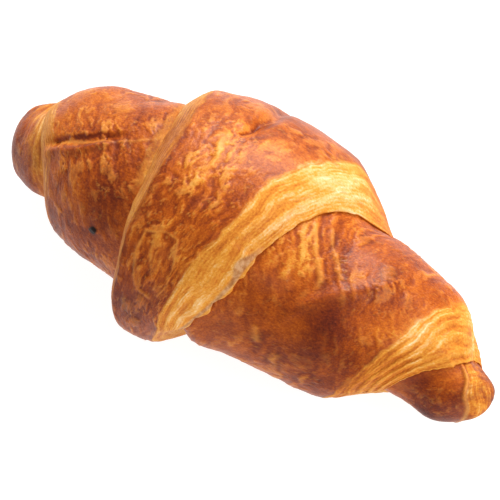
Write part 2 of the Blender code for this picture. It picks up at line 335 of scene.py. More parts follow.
# Angle, station, how much darker (or paler, if negative), reach round and along. Most spots are
# browning from the oven. The darker spots low on the front (angle near 0 to 50, and 340), under
# the ridge of the right turn and just above the tear of the left turn are painted shade.
BROWNING_AND_SHADE = {
    "left_tip": [(60, -84, 0.16, 60, 6), (0, -76, 0.22, 40, 12), (190, -76, 0.15, 45, 14)],
    "left_turn": [(100, -58, -0.12, 25, 14), (50, -36, 0.20, 26, 5), (0, -50, 0.16, 34, 22),
                  (64, -49, 0.06, 18, 8), (140, -50, 0.10, 30, 20), (40, -62, 0.08, 14, 4),
                  (72, -55, 0.08, 7, 5.5), (200, -50, 0.22, 45, 26)],
    "outer_turn": [(82, -14, -0.16, 15, 7), (110, -4, -0.06, 20, 8), (0, -20, 0.24, 26, 12),
                   (56, -24, 0.10, 30, 2.5), (62, -6, 0.07, 14, 3.5), (140, -10, 0.08, 30, 20),
                   (200, -12, 0.25, 45, 30)],
    "right_turn": [(86, 13, -0.15, 16, 6), (70, 18, -0.18, 13, 5), (96, 20, 0.16, 7, 4),
                   (66, 41, 0.09, 10, 6), (91, 23, 0.12, 12, 3.5), (65, 32, 0.15, 9, 6),
                   (90, 41, 0.08, 14, 6), (50, 31, 0.24, 12, 8), (34, 38, 0.12, 12, 8),
                   (20, 26, 0.14, 22, 16), (110, 42, 0.05, 30, 12), (0, 40, 0.16, 26, 12),
                   (200, 36, 0.22, 45, 22)],
    "right_tip": [(20, 64, 0.26, 45, 9), (340, 74, 0.25, 45, 9), (36, 76, 0.22, 36, 4),
                  (200, 70, 0.15, 50, 10)]}
# The same on cut sides, where the tone is cream before any browning
EDGE_BAKED = {
    "left_tip": [(60, -72, 0.08, 90, 14)],
    "right_tip": [(60, 74, 0.18, 90, 9), (118, 71, 0.10, 30, 6), (300, 74, 0.34, 55, 7),
                  (190, 73, 0.24, 40, 7), (79, 71.8, -0.16, 12, 2.6)],
    "left_turn": [(60, -60, 0.15, 90, 14), (90, -35, 0.20, 60, 8), (200, -60, 0.20, 60, 20)],
    "outer_turn": [(60, -29, 0.16, 80, 6), (97, -31, 0.20, 20, 6), (20, -4, 0.03, 30, 9),
                   (62, 0, 0.10, 24, 6), (122, 11, -0.18, 22, 8), (82, 9, -0.10, 14, 3),
                   (46, -28, -0.10, 14, 4), (55, 5, 0.08, 10, 4),
                   (200, 20, 0.34, 45, 20), (200, -44, 0.20, 60, 10)],
    "right_turn": [(20, 45, 0.16, 34, 14), (80, 60, 0.12, 60, 10), (78, 54, -0.17, 22, 5),
                   (45, 53, 0.12, 14, 6), (222, 62, 0.28, 36, 16), (158, 62, -0.20, 22, 8)]}
# The same for how wrinkled and flaky the crust is, on top of a little everywhere
WRINKLED = {
    "left_turn": [(66, -48, 0.5, 26, 12)],
    "outer_turn": [(78, -14, 1.0, 26, 9), (35, -14, 0.4, 24, 8)],
    "right_turn": [(80, 16, 0.7, 24, 9), (66, 10, 0.35, 12, 5), (40, 32, -0.32, 30, 16),
                   (36, 17, -0.22, 22, 9), (60, 33, -0.35, 9, 4)],
    "right_tip": [(40, 68, -0.30, 60, 14)]}


def spots(listed, angle, station):
    """Sum of soft spots: angle, station, amount, reach round, reach along."""
    total = np.zeros_like(station)
    for a, s, amount, reach, length in listed:
        total += amount * np.exp(-(turned(angle, a) / reach)**2 - ((station - s) / length)**2)
    return total


# %% [markdown]
# ## One turn of dough as a lofted piece
#
# A piece is a stack of rings, each of the same number of points, closed at both ends. Its
# rings run through named stretches: a hidden plug inside the roll, the foot, the cut edge,
# the rim, the crust, and so on to the other side. The foot stands a little proud of the turn
# below and then tucks in under itself, which leaves the thin dark gap that real layers have.

# %% Stack of rings
# How far a foot runs in under its step, in mm, and how strongly columns crowd on top
TUCK = 2.6
CROWDING = 0.35


class Turn:
    """Rings of one turn: station, radius and marks, added stretch by stretch."""

    def __init__(self, name, columns):
        self.name = name
        even = np.arange(columns) * 2 * math.pi / columns
        # Columns crowd together on top, where the fine detail is seen, and spread on the base
        self.angle = np.degrees(even - CROWDING * np.sin(even - math.pi / 2))
        self.across = 0.0
        self.rows = []

    def ring(self, station, radius, cut=0.0, layer=0.0, inside=0.0, across=0.0):
        full = np.ones_like(self.angle)
        self.rows.append([full * v for v in (station, radius, cut, layer, inside, self.across + across)])

    def plug(self, station, radius, middle, count=5, opening=True):
        """Rings from a point on the middle line out to a hidden ring, or back."""
        steps = np.arange(count) / count
        if not opening:
            steps = steps[::-1]
        for t in steps:
            self.ring(middle + (station - middle) * t, radius * t, inside=1.0)

    def crust(self, start, end, turn_radius, count):
        width = np.mean(np.abs(end - start))
        for t in (np.arange(count) + 0.5) / count:
            station = start + (end - start) * t
            self.ring(station, open_curve(turn_radius, station), across=width * t)
        self.across += width

    def tip(self, end, edge, turn_radius, cap, count, left):
        """A rounded end, from its very point to where the next turn covers it."""
        width = np.mean(np.abs(edge - end))
        steps = np.arange(count + 1) / count
        if not left:
            steps = steps[::-1]
        for t in steps:
            part = 1 - math.cos(t * math.pi / 2)
            station = end + (edge - end) * part
            inward = np.clip(np.abs(station - end) / cap, 0, 1)
            radius = open_curve(turn_radius, station) * np.sqrt(1 - (1 - inward)**2)
            self.ring(station, radius, across=width * (part if left else 1 - part))
        self.across += width

    def cut_edge(self, foot, rim, low, high, lip, layers, count, rising):
        """The cut side of the dough from foot to rim, or down again, with the gap under it."""
        bottom = open_curve(low, foot) + lip
        top = open_curve(high, rim)
        width = np.mean(np.hypot(rim - foot, top - bottom))
        side = 1 if rising else -1
        gap = [(1.0, -0.5), (0.75, 0.0), (0.4, 0.15), (0.12, 0.35), (0.0, 0.7)]
        rings = []
        for tuck, rise in gap:
            rings.append((foot + side * tuck * TUCK, open_curve(low, foot) + rise * lip, 0.0, -1.0, 0.0))
        for x in (np.arange(count) + 0.5) / count:
            station = foot + (rim - foot) * x
            radius = bottom + (top - bottom) * (0.55 * math.sin(x * math.pi / 2) + 0.45 * x)
            place_across = self.across + width * (x if rising else 1 - x)
            step, line = layers(x, place_across, self.angle, radius)
            rings.append((station, radius + step, x, line, x))
        if not rising:
            rings.reverse()
        for station, radius, x, line, part in rings:
            self.ring(station, radius, cut=1.0, layer=line, across=width * (part if rising else 1 - part))
        self.across += width

    def arrays(self):
        return [np.array(column) for column in zip(*self.rows)]


# %% [markdown]
# ## Layers of the cut edge
#
# Croissant dough has 27 or more sheets, each under a millimetre once baked. They show as fine
# steps along the cut edge, some standing out, some torn back. The number of steps, their
# wander and the few that gape are set for each edge. Near the right tip the layers have
# opened like a fan into a few deep ridges.

# %% Layer steps
def layer_steps(count, height, seed, ridges=0, ridge_height=0.0, wander=0.10):
    """Returns a function that gives the height and the light-and-dark line of each layer."""
    def steps(x, across, angle, radius):
        where = skin(np.full_like(angle, across), angle, radius)
        drift = wander * noise(where, (40, 16, 16), seed) + 0.025 * noise(where, (9, 5, 5), seed + 1)
        in_stack = x + drift * math.sin(x * math.pi)
        fine = np.cos(2 * np.pi * count * in_stack + 2.2 * noise(where, (30, 9, 9), seed + 2))
        strength = np.clip(0.45 + 0.75 * noise(where, (3, 7, 7), seed + 3), 0, 1)
        fade = min(1.0, x / 0.06) * min(1.0, (1 - x) / 0.25)
        step = height * fine * strength * fade
        line = fine * strength
        if ridges:
            broad = np.cos(2 * np.pi * (ridges * in_stack + 0.15))
            broad = np.sign(broad) * np.abs(broad)**0.7
            fuller = np.clip(0.65 + 0.9 * noise(where, (30, 14, 14), seed + 4), 0.15, 1)
            fuller = fuller * (1 - 0.7 * np.exp(-(turned(angle, 200) / 50)**2))
            step = step + ridge_height * broad * fade * fuller
            line = 0.55 * line + 0.65 * broad * fuller
        return step, line
    return steps


# %% [markdown]
# ## Fine relief of the crust
#
# The egg wash dries to a thin skin that wrinkles as the dough beneath it swells. Slow waves
# come every 16 to 20 mm. Wrinkles and flakes of 3 to 8 mm and blisters of 3 mm each carry
# finer bumps on top, as real flakes do. One noise of one size would look like worms. Raised
# flakes are thin and stay pale, and the veins and blisters named above are laid over them.

# %% Wrinkles and veins
# Lean of the wrinkles along the roll in mm, and size of a fold in mm along and round it
LEAN = {"right_turn": 18.0, "left_turn": 6.0}
FOLD_SIZE = {"outer_turn": (4.2, 8.0, 8.0), "right_turn": (3.0, 7.0, 7.0), "left_turn": (3.6, 5.5, 5.5)}


def layered_noise(points, size, seed, layers=4, fading=0.6):
    """Noise with finer and finer bumps on top, each half as wide and weaker by fading."""
    total = 0
    for i in range(layers):
        total = total + fading**i * noise(points, np.asarray(size) / 2**i, seed + i)
    return total


def crust_relief(name, across, angle, station, radius, cut):
    """Height in mm to add, and marks: veins (pale; dark lines are painted shade) and baking with painted
    shade (dark).
    """
    where = skin(across, angle, radius)
    leaning = skin(across + LEAN.get(name, 0.0) * np.sin(np.radians(angle - 60)), angle, radius)
    slow = noise(where, (16, 20, 20), 3)
    warp = np.stack([noise(where, (6, 6, 6), s) for s in (4, 5, 6)], axis=-1)
    wrinkle = layered_noise(leaning + 1.6 * warp, FOLD_SIZE.get(name, (3, 5, 5)), 20)
    blister = layered_noise(where + 1.0 * warp, (3.0, 3.6, 3.6), 40, layers=3)
    patch = ease(0.5 + 0.9 * noise(where, (11, 11, 11), 10))
    wrinkled = np.clip(0.35 + 0.35 * patch + spots(WRINKLED.get(name, []), angle, station), 0, 1.3)
    flake = ease((wrinkle - 0.22) / 0.30)
    bubble = ease((blister - 0.40) / 0.22)
    crust = 1 - cut
    height = 0.30 * slow + crust * wrinkled * (0.20 * wrinkle + 0.10 * flake + 0.14 * bubble)
    height += cut * 0.10 * noise(where, (0.9, 4.5, 4.5), 12)
    vein = crust * wrinkled * np.maximum(0.62 * flake * (0.6 + 0.9 * blister), 2.6 * bubble * (1 - bubble))
    for line, width, rise in VEINS.get(name, []):
        off = line_distance(line, angle, station, radius) + 0.5 * np.abs(wrinkle) + 0.4 * np.abs(warp[..., 0])
        ridge = np.exp(-(off / width)**2)
        height += rise * ridge
        vein = vein * (1 - ridge) + (0.4 + 1.2 * rise if rise > 0 else -0.5) * ridge
    for a, s, reach, length, rise in BLISTERS.get(name, []):
        off = (turned(angle, a) / reach)**2 + ((station - s) / length)**2
        bulge = np.exp(-(off * (1 + 0.8 * blister))**2)
        height += rise * bulge
        vein = np.maximum(vein, 0.3 * bulge)
    for a, s, half in CRUMBS.get(name, []):
        off = np.hypot(np.radians(turned(angle, a)) * radius, station - s) / half
        crumb = ease(1.6 - off)
        height += 0.2 * crumb
        vein = vein * (1 - crumb) - 1.4 * crumb
    dark = spots(BROWNING_AND_SHADE.get(name, []), angle, station) + 0.08 * slow - 0.10 * crust * wrinkled * wrinkle
    return height, vein, dark


def ragged(points, angle, seed, amount):
    """The line through the points with small tears and wavers, in millimetres of station."""
    where = skin(np.zeros_like(angle), angle, 30.0)
    waver = 0.6 * noise(where, (9, 9, 9), seed) + 0.4 * noise(where, (3, 3, 3), seed + 1)
    return closed_curve(points, angle) + amount * waver


def soften(values, rows=0, columns=0):
    """Evens out neighbouring rings and columns, as the oven rounds every edge."""
    for _ in range(rows):
        inner = (values[:-2] + 2 * values[1:-1] + values[2:]) / 4
        values = np.concatenate([values[:1], inner, values[-1:]])
    for _ in range(columns):
        values = (np.roll(values, 1, axis=1) + 2 * values + np.roll(values, -1, axis=1)) / 4
    return values


# %% [markdown]
# ## Turning rings into a mesh
#
# The rings become vertices in one go. The two ends are single points with a fan of triangles,
# and everything between is quads. Textures could carry the marks that the material needs, but
# attributes on the vertices need no unwrapping and follow the bumps exactly. They say how
# much of a cut edge a point is, and give its layer, vein, browning with painted shade, and papery skin.

# %% Mesh from rings
def mesh_from_rings(name, points, marks):
    """Closed mesh from rings of points; the first and last ring are single points."""
    rows, columns = points.shape[:2]
    middle = points[1:-1].reshape(-1, 3)
    vertices = np.concatenate([points[:1, 0], middle, points[-1:, 0]])
    last = len(vertices) - 1
    j = np.arange(columns)
    k = (j + 1) % columns
    pole = np.zeros_like(j)
    start = 1 + np.arange(rows - 3)[:, None] * columns
    quads = np.stack([start + j, start + columns + j, start + columns + k, start + k], axis=-1)
    base = 1 + (rows - 3) * columns
    faces = np.stack([pole, 1 + j, 1 + k], axis=-1).tolist() + quads.reshape(-1, 4).tolist()
    faces += np.stack([base + k, base + j, pole + last], axis=-1).tolist()
    mesh = bpy.data.meshes.new(name)
    mesh.from_pydata((vertices * MM).tolist(), [], faces)
    for mark, values in marks.items():
        inner = values[1:-1].reshape((-1,) + values.shape[2:])
        flat = np.concatenate([values[:1, 0], inner, values[-1:, 0]]).astype("f").ravel()
        if values.ndim == 3:
            mesh.attributes.new(mark, "FLOAT_VECTOR", "POINT").data.foreach_set("vector", flat)
        else:
            mesh.attributes.new(mark, "FLOAT", "POINT").data.foreach_set("value", flat)
    mesh.shade_smooth()
    mesh.validate()
    return mesh


# %% [markdown]
# ## Crust that has frayed
#
# Near the steps the top sheet has worn off, so pale fibres show on what is still crust. On
# the right tip two sheets have parted along an upright crest, with bare fibre behind it.
# Separate bare patches would need seams, so this is a soft mark on the same mesh.

# %% Where fibres show
# Height above the middle line, and how far forward the crest stands there
TIP_CREST = [(-8, 3.0), (0, 2.1), (3.2, 1.5), (8.6, 1.2), (11.1, -2.0)]


def behind_crest(angle, station, radius):
    """How far behind the upright crest of the right tip, in mm, and how near its end."""
    forward = radius * np.cos(np.radians(angle))
    up = radius * np.sin(np.radians(angle))
    return open_curve(TIP_CREST, up) - forward, ease((station - 64) / 5)


def frayed(name, angle, station, radius):
    """Crust that shows pale fibres although it isn't a cut side, 0 to 1."""
    if name == "left_turn":
        to_foot = closed_curve(LEFT_FOOT, angle) - station
        # From -90 at the table in front, over 90 on top, to 270 at the table behind
        up = np.mod(angle + 90, 360) - 90
        beside_foot = 0.85 * ease((4.5 - to_foot) / 4.0) * ease((up - 48) / 20) * (to_foot > -9)
        past_rim = station - closed_curve(LEFT_TIP_RIM, angle)
        return np.maximum(beside_foot, 0.7 * ease((1.5 - past_rim) / 1.5) * (past_rim > 0))
    if name == "left_tip":
        to_foot = closed_curve(LEFT_TIP_FOOT, angle) - station
        return 0.9 * ease((12.0 - to_foot) / 13.0)
    if name == "right_tip":
        behind, near_end = behind_crest(angle, station, radius)
        return 0.8 * near_end * ease(behind / 0.8)
    return np.zeros_like(station)


# %% [markdown]
# ## From rings to a finished turn
#
# Baking rounds every edge, so the rings are softened before the relief goes on. It fades out
# on hidden parts and at the very ends. Then the rings take their place on the roll. A
# displacement modifier could add the relief, but here the same values drive the colour too.

# %% Build one turn
DRIED = 0.2


def build_turn(turn, papery=None):
    """Adds relief to the rings, places them and makes the piece."""
    station, radius, cut, layer, inside, across = turn.arrays()
    angle = np.broadcast_to(turn.angle, station.shape)
    fresh = ease(1 - 2 * soften(np.maximum(inside, layer == -1.0), rows=2))
    radius = radius + (soften(radius, rows=5) - radius) * fresh * (1 - 0.6 * cut)
    cut = soften(cut, rows=12)
    show = ease(1.5 * (1 - soften(inside, rows=2)))
    cut = np.maximum(cut, frayed(turn.name, angle, station, radius))
    closed = ease(np.minimum(np.abs(station - LEFT_END), np.abs(station - RIGHT_END)) / 3)
    radius = radius + form(angle, station, radius) * show * closed
    height, vein, dark = crust_relief(turn.name, across, angle, station, radius, cut)
    if turn.name == "left_tip":
        layer = 1.3 * cut * layered_noise(skin(across, angle, radius), (1.0, 14, 14), 15, layers=2)
        height = height + 0.12 * layer
    if turn.name == "right_tip":
        behind, near_end = behind_crest(angle, station, radius)
        parted = near_end * np.exp(-(behind / 0.7)**2)
        upright = np.stack([behind, radius * np.sin(np.radians(angle)), station], axis=-1)
        layer = 1.3 * cut * layered_noise(upright, (1.1, 9, 9), 14, layers=3)
        height = height + 0.7 * parted + 0.12 * layer
        layer = layer + parted
        vein = np.maximum(vein, 0.9 * parted)
        below = -radius * np.sin(np.radians(angle))
        dark = dark + 0.20 * cut * (ease((behind - 4) / 4) + ease((below - 1) / 3))
    height = height * show * closed
    # Crest is the height above its surroundings; the material makes crests paler and valleys darker with it,
    # as painted highlight and painted shade
    crest = np.clip((height - soften(height, rows=14, columns=14)) / 0.10, -1, 1)
    radius = radius + height
    radius = np.where(radius < 0.02, 0, radius)
    points = place(station, angle, radius) - OFFSET
    dark = dark + cut * spots(EDGE_BAKED[turn.name], angle, station)
    # Cut sides on the left half dried out a little, which shows as a trace of paper
    dried = DRIED * ease(-station / 20)
    paper = cut * np.maximum(dried, papery(angle, station) if papery else 0)
    marks = {"cut": cut, "layer": layer, "vein": vein, "dark": dark, "paper": paper, "crest": crest,
             "skin": skin(across, angle, radius)}
    piece = bpy.data.objects.new(turn.name, mesh_from_rings(turn.name, points, marks))
    bpy.context.scene.collection.objects.link(piece)
    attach(piece, "root")
    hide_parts("croissant")
    print(turn.name, 2 * len(piece.data.polygons), "triangles")
    return piece


# %% [markdown]
# ## Centring
#
# The solid was centred over the origin by the middle of its own coarse box, so the same
# coarse rings are worked out here once, and their middle is taken off every fine point.

# %% Where the middle is
COARSE_COLUMNS = 64
COARSE_RINGS = 60


def coarse_middle():
    """Middle of the plain roll's box, low side for height, in millimetres."""
    angle = np.arange(COARSE_COLUMNS) * 360 / COARSE_COLUMNS
    boxes = []
    for start, end, size in ((LEFT_END, -60, INNER_TURN), (-47, 29, OUTER_TURN), (45, RIGHT_END, INNER_TURN)):
        for s in np.linspace(start, end, COARSE_RINGS):
            station = np.full(COARSE_COLUMNS, s)
            from_left = np.clip((station - LEFT_END) / LEFT_CAP, 0, 1)
            from_right = np.clip((RIGHT_END - station) / RIGHT_CAP, 0, 1)
            cap = np.sqrt(1 - (1 - from_left)**2) * np.sqrt(1 - (1 - from_right)**2)
            radius = open_curve(size, station)
            if size is OUTER_TURN:
                inside = (s > closed_curve(LEFT_RIM, angle)) & (s < closed_curve(RIGHT_RIM, angle))
                radius = np.where(inside, radius, open_curve(SECOND_TURN, station))
            radius = (radius + form(angle, station, radius)) * cap
            boxes.append(place(station, angle, radius))
    points = np.concatenate(boxes)
    low, high = points.min(axis=0), points.max(axis=0)
    return np.array([(low[0] + high[0]) / 2, (low[1] + high[1]) / 2, low[2]])


OFFSET = coarse_middle()
print("middle of the roll, mm:", OFFSET.round(2))

# %% [markdown]
# ## The two tips
#
# The innermost turn shows only at the ends. Each tip runs from its rounded point to a ring
# hidden under the next turn, where it is closed off. The left tip shows a few edges of layers
# side by side; the right tip has a pale upright crest where two sheets part.

# %% Left and right tip
COLUMNS = 300
left_tip = Turn("left_tip", COLUMNS)
edge = closed_curve(LEFT_TIP_FOOT, left_tip.angle) + 6
left_tip.tip(LEFT_END, edge, INNER_TURN, LEFT_CAP, 110, left=True)
left_tip.plug(edge + 1, open_curve(INNER_TURN, edge) - 2, -52, opening=False)

right_tip = Turn("right_tip", COLUMNS)
edge = closed_curve(RIGHT_TIP_FOOT, right_tip.angle) - 6
right_tip.plug(edge - 1, open_curve(INNER_TURN, edge) - 2, 40)
right_tip.tip(RIGHT_END, edge, INNER_TURN, RIGHT_CAP, 110, left=False)

# %% [markdown]
# ## Left turn
#
# The second turn shows left and right of the outer one. Each side is a piece of its own: cut
# edge, rim and crust, running on for a few millimetres beneath the outer turn.

# %% Left turn
left_turn = Turn("left_turn", 480)
foot = ragged(LEFT_TIP_FOOT, left_turn.angle, 21, 0.5)
rim = ragged(LEFT_TIP_RIM, left_turn.angle, 23, 0.5)
under = closed_curve(LEFT_FOOT, left_turn.angle) + 5
left_turn.plug(foot + TUCK, open_curve(INNER_TURN, foot) - 2, foot.mean() + 14)
left_turn.cut_edge(foot, rim, INNER_TURN, SECOND_TURN, 0.5,
                   layer_steps(7, 0.14, 31), 30, rising=True)
left_turn.crust(rim, under, SECOND_TURN, 130)
left_turn.plug(under + 1, open_curve(SECOND_TURN, under) - 3, -26, opening=False)

# %% [markdown]
# ## Right turn
#
# The right side of the second turn ends in the widest fan of layers, with deep grooves. One
# small flake has lifted off its lower edge, towards the back.

# %% Right turn
# How far the foot is drawn back behind, and how far the flake stands off, in mm
DRAWN_BACK = 3.2
FLAKE = 1.6

right_turn = Turn("right_turn", 480)
foot = ragged(RIGHT_TIP_FOOT, right_turn.angle, 25, 0.7)
foot = foot - DRAWN_BACK * np.exp(-(turned(right_turn.angle, 165) / 30)**2)
rim = ragged(RIGHT_TIP_RIM, right_turn.angle, 27, 0.8)
under = closed_curve(RIGHT_FOOT, right_turn.angle) - 5
flake = FLAKE * np.exp(-(turned(right_turn.angle, 150) / 4)**2)
right_turn.plug(under - 1, open_curve(SECOND_TURN, under) - 3, -8)
right_turn.crust(under, rim, SECOND_TURN, 122)
right_turn.cut_edge(foot, rim, INNER_TURN, SECOND_TURN, 0.7 + flake,
                    layer_steps(13, 0.07, 41, ridges=5, ridge_height=0.50, wander=0.20), 58, rising=False)
right_turn.plug(foot - TUCK, open_curve(INNER_TURN, foot) - 2, foot.mean() - 14, opening=False)

# %% [markdown]
# ## Outer turn
#
# The last turn wraps the middle of the roll. Its left edge is steep and thin. Its right edge
# lies open as a broad pale band with more than a dozen sheets, and low on that side the
# outermost sheet has torn to a dull papery strip that stands off the crust below.

# %% Outer turn
outer_turn = Turn("outer_turn", 540)
left_foot = ragged(LEFT_FOOT, outer_turn.angle, 51, 0.5)
left_rim = ragged(LEFT_RIM, outer_turn.angle, 53, 0.6)
right_rim = ragged(RIGHT_RIM, outer_turn.angle, 55, 1.0)
right_foot = ragged(RIGHT_FOOT, outer_turn.angle, 57, 0.7)


def torn(angle):
    """1 where the papery strip is, 0 elsewhere."""
    return ease((turned(angle, 20) + 34) / 8) * ease((46 - turned(angle, 20)) / 10)


around = skin(np.zeros_like(outer_turn.angle), outer_turn.angle, 30.0)
tears = 1.3 * noise(around, (5, 5, 5), 81) + 0.3 * noise(around, (1.8, 1.8, 1.8), 82)
tears = torn(outer_turn.angle) * tears
lip = 0.5 + 0.6 * torn(outer_turn.angle)
outer_turn.plug(left_foot + TUCK, open_curve(SECOND_TURN, left_foot) - 2.5, -18)
outer_turn.cut_edge(left_foot, left_rim, SECOND_TURN, OUTER_TURN, 0.4,
                    layer_steps(7, 0.14, 61), 26, rising=True)
outer_turn.crust(left_rim, right_rim, OUTER_TURN, 84)
outer_turn.cut_edge(right_foot + tears, right_rim, SECOND_TURN, OUTER_TURN, lip,
                    layer_steps(14, 0.06, 71, ridges=3, ridge_height=0.10, wander=0.18), 52, rising=False)
outer_turn.plug(right_foot - TUCK, open_curve(SECOND_TURN, right_foot) - 2.5, -10, opening=False)


def paper_strip(angle, station):
    """How papery the cut edge is: a strip just above the foot, inside the torn stretch."""
    from_foot = closed_curve(RIGHT_FOOT, angle) - station
    wide = 2.0 + 1.6 * np.exp(-(turned(angle, 50) / 6)**2)
    return torn(angle) * ease((wide - from_foot) / 1.0) * ease(from_foot / 0.7)


# %% [markdown]
# ## All five pieces
#
# The turns are made from the inside out, as they lie in the roll. Only the outer one has a
# papery strip. They stay separate, so the gaps between them remain real gaps.

# %% Make the pieces
pieces = [build_turn(turn) for turn in (left_tip, right_tip, left_turn, right_turn)]
pieces.append(build_turn(outer_turn, paper_strip))

# %% [markdown]
# ## Baked crust and laminated edge
#
# Real crust is flour and butter browned in the oven under a wash of beaten egg. The egg film
# gives it a soft gloss, and its brown runs from pale gold on the crests to deep red-brown
# where it was hottest. The cut edges had no egg: they stay dry, creamy and matte.
#
# Two materials could do this. One is simpler here, because every turn goes from crust to cut
# edge without a border, and the marks on the mesh say how far along it is.

# %% Colours and node helper
def srgb(code):
    """Linear red, green, blue and alpha of a colour written like D98B45."""
    parts = [int(code[i:i + 2], 16) / 255 for i in (0, 2, 4)]
    return [p / 12.92 if p <= 0.04045 else ((p + 0.055) / 1.055)**2.4 for p in parts] + [1.0]


material = bpy.data.materials.new("egg_washed_crust_over_laminated_dough")
material.use_nodes = True
tree = material.node_tree
tree.nodes.clear()


def add(kind, links, output=0, stops=(), **settings):
    """Adds one node and returns an output of it.

    links are its inputs by place or name: a plain value, or the output of an earlier node.
    stops are the (place, colour) pairs of a colour ramp, settings are the node's own choices.
    """
    node = tree.nodes.new("ShaderNode" + kind)
    for name, value in settings.items():
        setattr(node, name, value)
    for entry, value in dict(links).items():
        if isinstance(value, bpy.types.NodeSocket):
            tree.links.new(value, node.inputs[entry])
        else:
            node.inputs[entry].default_value = value
    for i, (position, code) in enumerate(stops):
        if i >= len(node.color_ramp.elements):
            node.color_ramp.elements.new(position)
        node.color_ramp.elements[i].position = position
        node.color_ramp.elements[i].color = srgb(code)
    return node.outputs[output] if len(node.outputs) else node


mark = {name: add("Attribute", {}, "Fac", attribute_name=name)
        for name in ("cut", "layer", "vein", "dark", "paper", "crest")}
place_on_skin = add("Attribute", {}, "Vector", attribute_name="skin")
# The same place shortened round the roll, so that noise on it draws long fibres that way
along_fibres = add("VectorMath", {0: place_on_skin, 1: (1.0, 0.22, 0.22)}, operation="MULTIPLY")
half_along = add("VectorMath", {0: place_on_skin, 1: (1.0, 0.45, 0.45)}, operation="MULTIPLY")

# %% [markdown]
# ## Crust
#
# Browning, with painted shade added to it, is one number, which a ramp turns into colour. Each patch could
# have its own colour, but crust passes through the same browns as it bakes, so one scale keeps them in
# order. Bloom, painted shade in the valleys, flakes, and painted shade in grooves with burnt crumbs are laid
# over it.

# %% Egg-washed crust
# Browning with painted shade: 0 is pale gold, 1 is the darkest brown. Patches are 8 mm wide, speckles 0.55
# mm.
# Crests are made a little paler, partly pale flakes and partly painted highlight.
mottle = add("TexNoise", {"Vector": place_on_skin, "Scale": 1 / 8.0, "Detail": 6, "Roughness": 0.6})
speckle = add("TexNoise", {"Vector": place_on_skin, "Scale": 1 / 0.55, "Detail": 3, "Roughness": 0.65})
browning_and_shade = mark["dark"]
for part, share in ((mottle, 0.72), (speckle, 0.60), (mark["crest"], -0.12)):
    browning_and_shade = add("Math", {0: part, 1: share, 2: browning_and_shade}, operation="MULTIPLY_ADD")
browning_and_shade = add("Math", {0: browning_and_shade, 1: -0.17}, operation="ADD", use_clamp=True)
crust_colour = add("ValToRGB", {"Fac": browning_and_shade}, stops=[
    (0.00, "ECAA4A"), (0.18, "DC8C2E"), (0.36, "CB6A1A"), (0.52, "AF500F"),
    (0.70, "8A380E"), (0.86, "6C260F"), (1.00, "4C190D")])

# Rosy bloom in patches of 13 mm, where the egg film is thin
bloom = add("TexNoise", {"Vector": place_on_skin, "Scale": 1 / 13.0, "Detail": 3, "Roughness": 0.5})
bloom = add("Math", {0: bloom, 1: 4.0, 2: -2.0}, operation="MULTIPLY_ADD", use_clamp=True)
bloom = add("Math", {0: bloom, 1: 0.22}, operation="MULTIPLY")

# Painted shade: the valleys of the wrinkles are made darker and redder
painted_valley_shade = add("Math", {0: mark["crest"], 1: -0.38, 2: -0.06}, operation="MULTIPLY_ADD", use_clamp=True)

# Pale flakes and veins, broken into pieces of 1.6 mm
broken = add("TexNoise", {"Vector": place_on_skin, "Scale": 1 / 1.6, "Detail": 3, "Roughness": 0.6})
broken = add("Math", {0: broken, 1: 1.2, 2: -0.08}, operation="MULTIPLY_ADD")
pale = add("Math", {0: mark["vein"], 1: 0.0}, operation="MAXIMUM")
pale = add("Math", {0: pale, 1: broken}, operation="MULTIPLY", use_clamp=True)

# Dark lines: painted shade in the tear, the top dent and other grooves, and burnt crumbs
groove_shade_and_crumbs = add("Math", {0: mark["vein"], 1: -0.9}, operation="MULTIPLY", use_clamp=True)
for share, code in ((bloom, "B5684C"), (painted_valley_shade, "7C2C08"), (pale, "E5A24C"), (groove_shade_and_crumbs, "24100A")):
    crust_colour = add("Mix", {0: share, 6: crust_colour, 7: srgb(code)}, 2, data_type="RGBA")

# %% [markdown]
# ## Cut sides
#
# The cut sides show the sheets of dough end on, as fine fibres that run round the roll. The
# layer lines come from the mesh, so that light and dark sit on the same steps as the relief.
# A pattern of stripes alone would slide over them.

# %% Cut side of laminated dough
# Tone: 0 is toasted butter, 1 is cream. Fibres are 0.9 mm, patches 3.5 mm, crumbs 0.6 mm.
# Crests are a little paler, a painted highlight.
fibres = add("TexNoise", {"Vector": along_fibres, "Scale": 1 / 0.9, "Detail": 4, "Roughness": 0.65})
patches = add("TexNoise", {"Vector": half_along, "Scale": 1 / 3.5, "Detail": 5, "Roughness": 0.6})
crumbs = add("TexNoise", {"Vector": place_on_skin, "Scale": 1 / 0.6, "Detail": 2, "Roughness": 0.5})
tone = add("Math", {0: mark["layer"], 1: 0.17}, operation="MULTIPLY")
for part, share in ((fibres, 0.54), (patches, 0.50), (crumbs, 0.46), (mark["crest"], 0.08)):
    tone = add("Math", {0: part, 1: share, 2: tone}, operation="MULTIPLY_ADD")
tone = add("Math", {0: tone, 1: -0.12}, operation="ADD")
tone = add("Math", {0: tone, 1: mark["dark"]}, operation="SUBTRACT", use_clamp=True)
edge_colour = add("ValToRGB", {"Fac": tone}, stops=[
    (0.00, "78360F"), (0.22, "AC5518"), (0.42, "CF7722"), (0.62, "E59A37"),
    (0.82, "F0BE7A"), (1.00, "FAE0B8")])

# The torn strip of the last sheet: dull brown, like paper
paper_grain = add("TexNoise", {"Vector": place_on_skin, "Scale": 1 / 2.2, "Detail": 4, "Roughness": 0.6})
paper_colour = add("ValToRGB", {"Fac": paper_grain}, stops=[
    (0.36, "8A5638"), (0.48, "B58158"), (0.60, "D0A47C")])
papery = add("Math", {0: mark["paper"], 1: 0.78}, operation="MULTIPLY")
edge_colour = add("Mix", {0: papery, 6: edge_colour, 7: paper_colour}, 2, data_type="RGBA")

